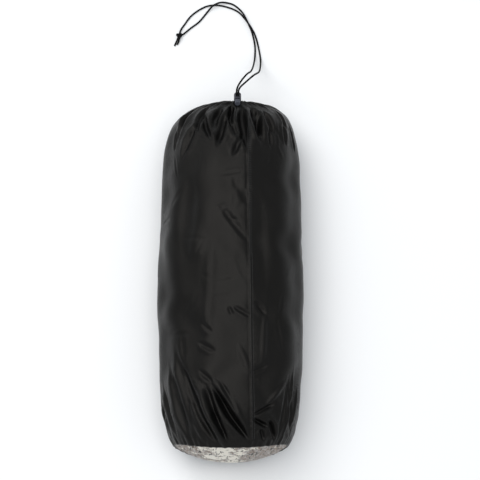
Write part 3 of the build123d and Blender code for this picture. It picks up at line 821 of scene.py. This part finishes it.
    # ---- pieces
    def build_tube(self) -> bpy.types.Object:
        """Make the sack's fabric and let it ride on the sack.

        Returns:
            The fabric's object.
        """
        self.build_form()
        out = surface_normals(self.form)
        raised = self.form + out * self.relief()[..., None]
        low = raised[..., 2]
        raised[..., 2] = (low + np.sqrt(low**2 + self.floor_softness**2)) / 2
        self.surface = raised
        girth = (self.section[:, 3] + self.section[:, 4])[:, None] / 2
        turns = np.append(self.turn, math.pi)[None, :]
        cloth = np.stack([turns * np.maximum(girth, 60 * MM),
                          np.repeat(self.along[:, None], turns.size, 1)], -1)
        tube = cloth_grid("sack_fabric_tube", raised, cloth, closed=True)
        return place_piece(tube, Finish.SACK, "sack_body")

    def build_bottom(self) -> bpy.types.Object:
        """Make the round printed bottom, slightly puckered where it is stitched in.

        Returns:
            The bottom's object.
        """
        rng = np.random.default_rng(self.seed + 1)
        share = np.linspace(0.004, 1, 70)[:, None]
        turn = np.linspace(0, TURN, 300, endpoint=False)[None, :]
        wide = self.half_width * self.bottom_share - self.bottom_lip + 0.8 * MM
        high = self.half_height * self.bottom_share - self.bottom_lip + 0.8 * MM
        out = self.dome * (1 - share**2.3) * np.ones_like(turn)
        for count, size in ((13, 0.5), (22, 0.35), (37, 0.22)):
            phase = rng.uniform(0, TURN)
            out += (size * MM * share**5 * (1 - ease(share, 0.97, 1.0))
                    * np.sin(count * turn + phase))
        out += 0.5 * MM * np.sin(share * 7 + 2 * np.sin(turn)) * np.cos(2 * turn) * (1 - share)
        lean = math.radians(self.bottom_tilt)
        x = share * wide * np.cos(turn)
        rise = share * high * np.sin(turn)
        y = self.bottom_y - out * math.cos(lean) + rise * math.sin(lean) + self.recess(x)
        z = self.bottom_z + rise * math.cos(lean) + out * math.sin(lean)
        cloth = np.stack([np.append(x, x[:, :1], 1), np.append(rise, rise[:, :1], 1)], -1)
        panel = cloth_grid("bottom_fabric", np.stack([x, y, z], -1), cloth, closed=True)
        2 * wide
        2 * high
        math.pi * wide * high
        return place_piece(panel, Finish.PRINT, "bottom_panel")

    def build_hem(self) -> bpy.types.Object:
        """Make the bunched hem round the drawn mouth.

        Returns:
            The hem's object.
        """
        ring = np.linspace(0, TURN, 260, endpoint=False)[:, None]
        tube = np.linspace(0, TURN, 28, endpoint=False)[None, :]
        ring = np.append(ring, [[TURN]], 0)
        bunch = (0.5 * np.sin(17 * ring) + 0.35 * np.sin(26 * ring + 1.2)
                 + 0.2 * np.sin(43 * ring + 0.4))
        thick = self.hem_radius * (0.9 + 0.13 * bunch)
        reach = self.ring_radius + 0.35 * MM * np.sin(9 * ring + 0.8) + thick * np.cos(tube)
        x = self.ring[0] + reach * np.sin(ring)
        z = self.ring[2] + reach * np.cos(ring)
        y = self.ring[1] + thick * np.sin(tube) + 0.5 * MM * np.sin(13 * ring + 2) + 0 * x
        cloth = round_grid(ring[:, 0] * self.ring_radius,
                           np.linspace(0, TURN, 29) * self.hem_radius)
        hem = cloth_grid("hem_fabric", np.stack([x, y, z], -1), cloth, closed=True)
        return place_piece(hem, Finish.SACK, "hem_channel")

    def build_stitches(self) -> bpy.types.Object:
        """Make the thread of the long seam: overcast above, a double row in the lower half.

        Returns:
            The thread's object.
        """
        out = surface_normals(self.surface)
        seam = self.seam_turn()
        stitches = []
        top = self.end - 72 * MM
        for off, low, high in ((0.5 * MM, 16 * MM, top), (3.6 * MM, 16 * MM, 0.5 * self.end)):
            for start in np.arange(low, high, 2.3 * MM):
                stitches.append([self.on_surface(out, seam, place, off)
                                 for place in (start, start + 1.6 * MM)])
        for place in np.arange(0.5 * self.end, top, 3.0 * MM):
            stitches.append([self.on_surface(out, seam, place, off)
                             for off in (1.0 * MM, 4.4 * MM)])
        points, faces = [], []
        for (foot, foot_out), (head, head_out) in stitches:
            run = head - foot
            run = run / np.linalg.norm(run)
            side = np.cross(run, foot_out)
            base = len(points)
            for share, fat in ((0.0, 0.35), (0.2, 1.0), (0.8, 1.0), (1.0, 0.35)):
                middle = foot + (head - foot) * share + foot_out * 0.12 * MM * fat
                for angle in np.linspace(0, TURN, 6, endpoint=False):
                    ray = math.cos(angle) * side + math.sin(angle) * foot_out
                    points.append(middle + self.thread_radius * fat * ray)
            for ring in range(3):
                for k in range(6):
                    a, b = base + ring * 6 + k, base + ring * 6 + (k + 1) % 6
                    faces.append((a, b, b + 6, a + 6))
            faces.append(tuple(base + k for k in range(5, -1, -1)))
            faces.append(tuple(base + 18 + k for k in range(6)))
        mesh = bpy.data.meshes.new("seam_thread")
        mesh.from_pydata([tuple(p) for p in points], [], faces)
        mesh.polygons.foreach_set("use_smooth", np.ones(len(faces), bool))
        mesh.update()
        thread = bpy.data.objects.new("seam_thread", mesh)
        bpy.context.scene.collection.objects.link(thread)
        return place_piece(thread, Finish.THREAD)

    def build_seam_tape(self) -> bpy.types.Object:
        """Make the film that seals the long seam, close under the fabric.

        Returns:
            The tape's object.
        """
        out = surface_normals(self.surface)
        seam = self.seam_turn()
        places = np.linspace(30 * MM, self.end - 88 * MM, 330)
        offs = np.linspace(-4.5, 4.5, 9) * MM
        found = np.array([[self.on_surface(out, seam, place, off) for off in offs]
                          for place in places])
        near, far = (found[:, :, 0] - found[:, :, 1] * depth for depth in self.film_depths)
        ring = np.concatenate([near, far[:, ::-1]], 1)
        tape = cloth_grid("seam_film", ring, round_grid(places, np.linspace(0, 18 * MM, 19)),
                          closed=True)
        return place_piece(tape, Finish.TAPE, "side_seam_tape")

    def build_rim_film(self) -> bpy.types.Object:
        """Make the film that seals the bottom seam, inside the turned-in rim.

        Returns:
            The film's object.
        """
        rows = slice(2, int(np.searchsorted(self.along, 9 * MM)))
        out = surface_normals(self.surface)[rows]
        near, far = (self.surface[rows] - out * depth for depth in self.film_depths)
        ring = np.concatenate([near, far[::-1], near[:1]])
        cloth = round_grid(np.linspace(0, 16 * MM, len(ring)),
                           np.linspace(0, 0.42, self.columns + 1))
        film = cloth_grid("rim_film", ring, cloth, closed=True)
        return place_piece(film, Finish.TAPE, "bottom_seam_tape")

    def on_surface(self, out: np.ndarray, seam: np.ndarray, place: float,
                   off: float) -> tuple[np.ndarray, np.ndarray]:
        """Place and normal on the fabric beside the seam.

        Args:
            out: normals of the fabric's grid.
            seam: turn of the seam at each row.
            place: distance along the fabric.
            off: distance to the right of the seam.

        Returns:
            The place and the unit normal there.
        """
        row = np.interp(place, self.along, np.arange(len(self.along)))
        low = min(int(row), len(self.along) - 2)
        part = row - low
        wide = np.interp(place, self.along, self.section[:, 3])
        turn = np.interp(place, self.along, seam) + off / wide
        column = (turn + math.pi) / TURN * self.columns
        left = int(column) % self.columns
        right, share = (left + 1) % self.columns, column - int(column)

        def sample(grid: np.ndarray) -> np.ndarray:
            """Value between the four grid points around the place."""
            near = grid[low, left] * (1 - share) + grid[low, right] * share
            far = grid[low + 1, left] * (1 - share) + grid[low + 1, right] * share
            return near * (1 - part) + far * part

        normal = sample(out)
        return sample(self.surface), normal / np.linalg.norm(normal)


# ---------------------------------------------------------------- drawcord
@dataclass
class DrawCord:
    """Both free strands of the drawcord, their tails and the knot that joins them."""

    radius: float = 1.15 * MM
    left_length: float = 0.350
    right_length: float = 0.353
    knot_middle: Point = (-0.0708, 0.3414, 0.0037)
    left_route: tuple[Point, ...] = (
        (0.0073, 0.2254, 0.0923), (0.0073, 0.2340, 0.1046), (0.0073, 0.2400, 0.1131),
        (0.0126, 0.2475, 0.1210), (0.0196, 0.2570, 0.1180), (0.0229, 0.2635, 0.1035),
        (0.0257, 0.2710, 0.0800),
        (0.0286, 0.2866, 0.0380), (0.0310, 0.3035, 0.0095), (0.0321, 0.3145, 0.0013),
        (0.0323, 0.3280, 0.0013), (0.0288, 0.3447, 0.0019), (0.0254, 0.3532, 0.0039),
        (0.0214, 0.3612, 0.0066), (0.0177, 0.3690, 0.0066), (0.0142, 0.3752, 0.0039),
        (0.0094, 0.3809, 0.0013), (0.0027, 0.3861, 0.0013), (-0.0046, 0.3883, 0.0013),
        (-0.0112, 0.3885, 0.0039), (-0.0172, 0.3871, 0.0066), (-0.0238, 0.3839, 0.0066),
        (-0.0284, 0.3803, 0.0039), (-0.0326, 0.3756, 0.0013), (-0.0382, 0.3682, 0.0013),
        (-0.0450, 0.3601, 0.0013), (-0.0544, 0.3536, 0.0013), (-0.0614, 0.3474, 0.0016),
        (-0.0658, 0.3433, 0.0024), (-0.0690, 0.3419, 0.0036),
    )
    right_route: tuple[Point, ...] = (
        (0.0097, 0.2254, 0.0923), (0.0097, 0.2340, 0.1046), (0.0097, 0.2400, 0.1131),
        (0.0196, 0.2470, 0.1210), (0.0286, 0.2560, 0.1175), (0.0333, 0.2625, 0.1035),
        (0.0360, 0.2700, 0.0800),
        (0.0382, 0.2840, 0.0380), (0.0396, 0.3005, 0.0095), (0.0394, 0.3110, 0.0013),
        (0.0375, 0.3222, 0.0013), (0.0344, 0.3365, 0.0013), (0.0300, 0.3489, 0.0013),
        (0.0192, 0.3651, 0.0013), (0.0112, 0.3746, 0.0013), (0.0027, 0.3796, 0.0013),
        (-0.0080, 0.3832, 0.0013), (-0.0201, 0.3855, 0.0013), (-0.0316, 0.3845, 0.0013),
        (-0.0395, 0.3810, 0.0013), (-0.0478, 0.3760, 0.0013), (-0.0565, 0.3686, 0.0013),
        (-0.0635, 0.3580, 0.0013), (-0.0682, 0.3514, 0.0018), (-0.0698, 0.3470, 0.0024),
        (-0.0704, 0.3437, 0.0036),
    )
    left_tail: tuple[Point, ...] = (
        (-0.0716, 0.3402, 0.0038), (-0.0732, 0.3366, 0.0026), (-0.0752, 0.3322, 0.0014),
        (-0.0772, 0.3276, 0.0013))
    right_tail: tuple[Point, ...] = (
        (-0.0706, 0.3400, 0.0040), (-0.0708, 0.3356, 0.0032), (-0.0722, 0.3322, 0.0022),
        (-0.0737, 0.3292, 0.0014))

    @staticmethod
    def centreline(route: Sequence[Point]) -> np.ndarray:
        """Smooth line of a route.

        Args:
            route: control points of the line.

        Returns:
            Points along one open NURBS spline, in order.
        """
        curve = bpy.data.curves.new("route", "CURVE")
        curve.dimensions = "3D"
        curve.resolution_u = 14
        spline = curve.splines.new("NURBS")
        spline.points.add(len(route) - 1)
        for point, place in zip(spline.points, route):
            point.co = (*place, 1.0)
        spline.order_u = 3
        spline.use_endpoint_u = True
        holder = bpy.data.objects.new("route", curve)
        bpy.context.scene.collection.objects.link(holder)
        bpy.context.view_layer.update()
        line = bpy.data.meshes.new_from_object(holder.evaluated_get(
            bpy.context.evaluated_depsgraph_get()))
        points = np.array([v.co[:] for v in line.vertices])
        bpy.data.objects.remove(holder)
        bpy.data.curves.remove(curve)
        bpy.data.meshes.remove(line)
        return points

    def tube(self, name: str, line: np.ndarray, node: str | None = None) -> bpy.types.Object:
        """Braided cord along a line.

        Args:
            name: the object's name.
            line: points that the cord follows.
            node: the CAD node that it stands for.

        Returns:
            The cord's object.
        """
        steps = np.linalg.norm(np.diff(line, axis=0), axis=1)
        length = np.concatenate([[0], np.cumsum(steps)])
        wanted = np.linspace(0, length[-1], max(8, round(length[-1] / (0.42 * MM))))
        line = np.stack([np.interp(wanted, length, line[:, k]) for k in range(3)], 1)
        run = np.gradient(line, axis=0)
        run /= np.linalg.norm(run, axis=1, keepdims=True)
        side = np.zeros_like(line)
        first = np.cross(run[0], (0, 0, 1) if abs(run[0, 2]) < 0.9 else (1, 0, 0))
        side[0] = first / np.linalg.norm(first)
        for k in range(1, len(line)):
            kept = side[k - 1] - run[k] * np.dot(side[k - 1], run[k])
            side[k] = kept / np.linalg.norm(kept)
        other = np.cross(run, side)
        turn = np.linspace(0, TURN, 20, endpoint=False)[None, :]
        lean = wanted[:, None] * (TURN / Finish.CORD.value.pick)
        picks = np.sin(4 * turn + lean) * np.sin(4 * turn - lean)
        inside = np.clip(1 - np.minimum(wanted, wanted[-1] - wanted) / self.radius, 0, 1)
        round_end = np.sqrt(np.clip(1 - inside**2, 0.02, 1))[:, None]
        thick = self.radius * (1.02 + 0.03 * picks) * round_end
        rays = (np.cos(turn)[..., None] * side[:, None]
                + np.sin(turn)[..., None] * other[:, None])
        cord = cloth_grid(name, line[:, None] + thick[..., None] * rays,
                          round_grid(wanted, np.linspace(0, 1, 21)), closed=True)
        return place_piece(cord, Finish.CORD, node)

    def knot_line(self, phase: float, size: float) -> np.ndarray:
        """One strand's way through the overhand knot.

        Args:
            phase: where round the knot the strand enters.
            size: scale of its loops.

        Returns:
            Points along the strand.
        """
        part = np.linspace(0, TURN, 200) + phase
        x = np.sin(part) + 2 * np.sin(2 * part)
        y = np.cos(part) - 2 * np.cos(2 * part)
        z = -np.sin(3 * part)
        loops = np.stack([x * 1.12 * size, y * 1.3 * size, z * 1.7 * size], 1) * MM
        return loops + np.array(self.knot_middle)

    def build(self) -> list[bpy.types.Object]:
        """Make the strands, the tails and the knot.

        Returns:
            Every piece of the cord.
        """
        knots = [self.tube("knot_strand_1", self.knot_line(0.0, 1.0), "cord_knot"),
                 self.tube("knot_strand_2", self.knot_line(math.pi / 3, 0.82))]
        tails = [self.tube(f"tail_{side}", self.centreline(route), f"cord_tail_{side}")
                 for side, route in (("left", self.left_tail), ("right", self.right_tail))]
        strands = []
        for side, route, length in (("left", self.left_route, self.left_length),
                                    ("right", self.right_route, self.right_length)):
            line = self.centreline(route)
            strand = self.tube(f"strand_{side}", line, f"cord_strand_{side}")
            strands.append(strand)
        return strands + tails + knots


# ---------------------------------------------------------------- carried CAD pieces
@dataclass(frozen=True)
class CarriedPieces:
    """CAD pieces that keep their shape and take a finish."""

    finishes: tuple[tuple[Finish, tuple[str, ...]], ...] = (
        (Finish.LOCK, ("lock_body",)), (Finish.BUTTON, ("lock_plunger",)),
        (Finish.SPRING, ("lock_spring",)), (Finish.CORD, ("drawcord_ring",)),
        (Finish.FLOOR_CLOTH, ("bivy_floor",)), (Finish.TOP_CLOTH, ("bivy_top",)),
        (Finish.NET, ("mesh_panel",)),
        (Finish.ZIP_TAPE, ("zip_tape_left", "zip_tape_right", "zip_pull", "stake_loops")),
        (Finish.ZIP_COIL, ("zip_coil",)), (Finish.ZIP_METAL, ("zip_slider",)),
        (Finish.BAG_CLOTH, ("pole_bag", "stake_bag")), (Finish.STAKE, ("tent_stakes",)),
        (Finish.POLE, tuple(f"pole_section_{count}" for count in (1, 2, 3, 4))),
        (Finish.FERRULE, tuple(f"pole_ferrule_{count}" for count in (1, 2, 3))),
    )

    def dress(self, nodes: dict[str, bpy.types.Object]) -> None:
        """Give each carried node its material.

        Args:
            nodes: the CAD nodes by name.
        """
        for finish, names in self.finishes:
            for name in names:
                mesh = nodes[name].data
                mesh.materials.clear()
                mesh.materials.append(finish.material())
                LOG.info("dressed %s in %s", name, finish.value.name)


# ---------------------------------------------------------------- studio
@dataclass(frozen=True)
class Softbox:
    """A rectangular soft light aimed at a point."""

    name: str
    place: Point
    aim: Point
    size: tuple[float, float]
    power: float


@dataclass(frozen=True)
class Studio:
    """White floor, softboxes, pale surroundings and the camera over the object."""

    aim: Point = (0.0117, 0.0493, 0.066)
    elevation: float = 80.0
    distance: float = 2.6
    lens: float = 150.0
    surroundings: float = 0.62
    sky: Colour = (0.94, 0.98, 1.02, 1.0)
    lights: tuple[Softbox, ...] = (
        Softbox("overhead_softbox", (-0.32, 0.35, 1.65), (-0.02, 0.0, 0.08), (0.86, 2.2), 21.0),
        Softbox("front_softbox", (0.0, -2.2, 1.1), (0.0, -0.2, 0.0), (1.6, 0.6), 4.0),
    )

    def place_camera(self) -> None:
        """Make the camera and make it the scene's camera."""
        rise = math.radians(self.elevation)
        back = Vector((0, -math.cos(rise), math.sin(rise)))
        data = bpy.data.cameras.new("camera")
        data.lens = self.lens
        data.sensor_width = 36.0
        data.clip_end = 20.0
        camera = bpy.data.objects.new("camera", data)
        camera.location = Vector(self.aim) + back * self.distance
        camera.rotation_euler = (-back).to_track_quat("-Z", "Y").to_euler()
        bpy.context.scene.collection.objects.link(camera)
        bpy.context.scene.camera = camera

    def build(self) -> None:
        """Lay the floor, hang the lights and set the surroundings."""
        bpy.ops.mesh.primitive_plane_add(size=9.0, location=(0, 0, 0))
        floor = bpy.context.object
        floor.name = "studio_floor"
        floor.data.materials.append(Finish.PAPER.material())
        for light in self.lights:
            data = bpy.data.lights.new(light.name, "AREA")
            data.shape = "RECTANGLE"
            data.size, data.size_y = light.size
            data.energy = light.power
            lamp = bpy.data.objects.new(light.name, data)
            lamp.location = light.place
            direction = Vector(light.aim) - Vector(light.place)
            lamp.rotation_euler = direction.to_track_quat("-Z", "Y").to_euler()
            lamp.visible_camera = False
            bpy.context.scene.collection.objects.link(lamp)
        world = bpy.data.worlds.new("surroundings")
        world.use_nodes = True
        background = world.node_tree.nodes["Background"]
        background.inputs["Color"].default_value = self.sky
        background.inputs["Strength"].default_value = self.surroundings
        bpy.context.scene.world = world
        bpy.context.scene.view_settings.view_transform = "Standard"


def corners(box: tuple[Vector, Vector]) -> list[list[float]]:
    """A box's lowest and highest corner as plain lists."""
    return [list(corner) for corner in box]


def main() -> None:
    """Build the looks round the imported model, in order."""
    logging.basicConfig(level=logging.INFO, format="%(message)s")
    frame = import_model()
    studio = Studio()
    studio.place_camera()
    for piece in DrawCord().build():
        LOG.info("made %s", piece.name)
    sack = StuffSack()
    for make in (sack.build_tube, sack.build_bottom, sack.build_hem, sack.build_stitches,
                 sack.build_seam_tape, sack.build_rim_film):
        LOG.info("made %s", make().name)
    CarriedPieces().dress(frame["nodes"])
    studio.build()
    bpy.context.view_layer.update()


if __name__ == "__main__":
    main()
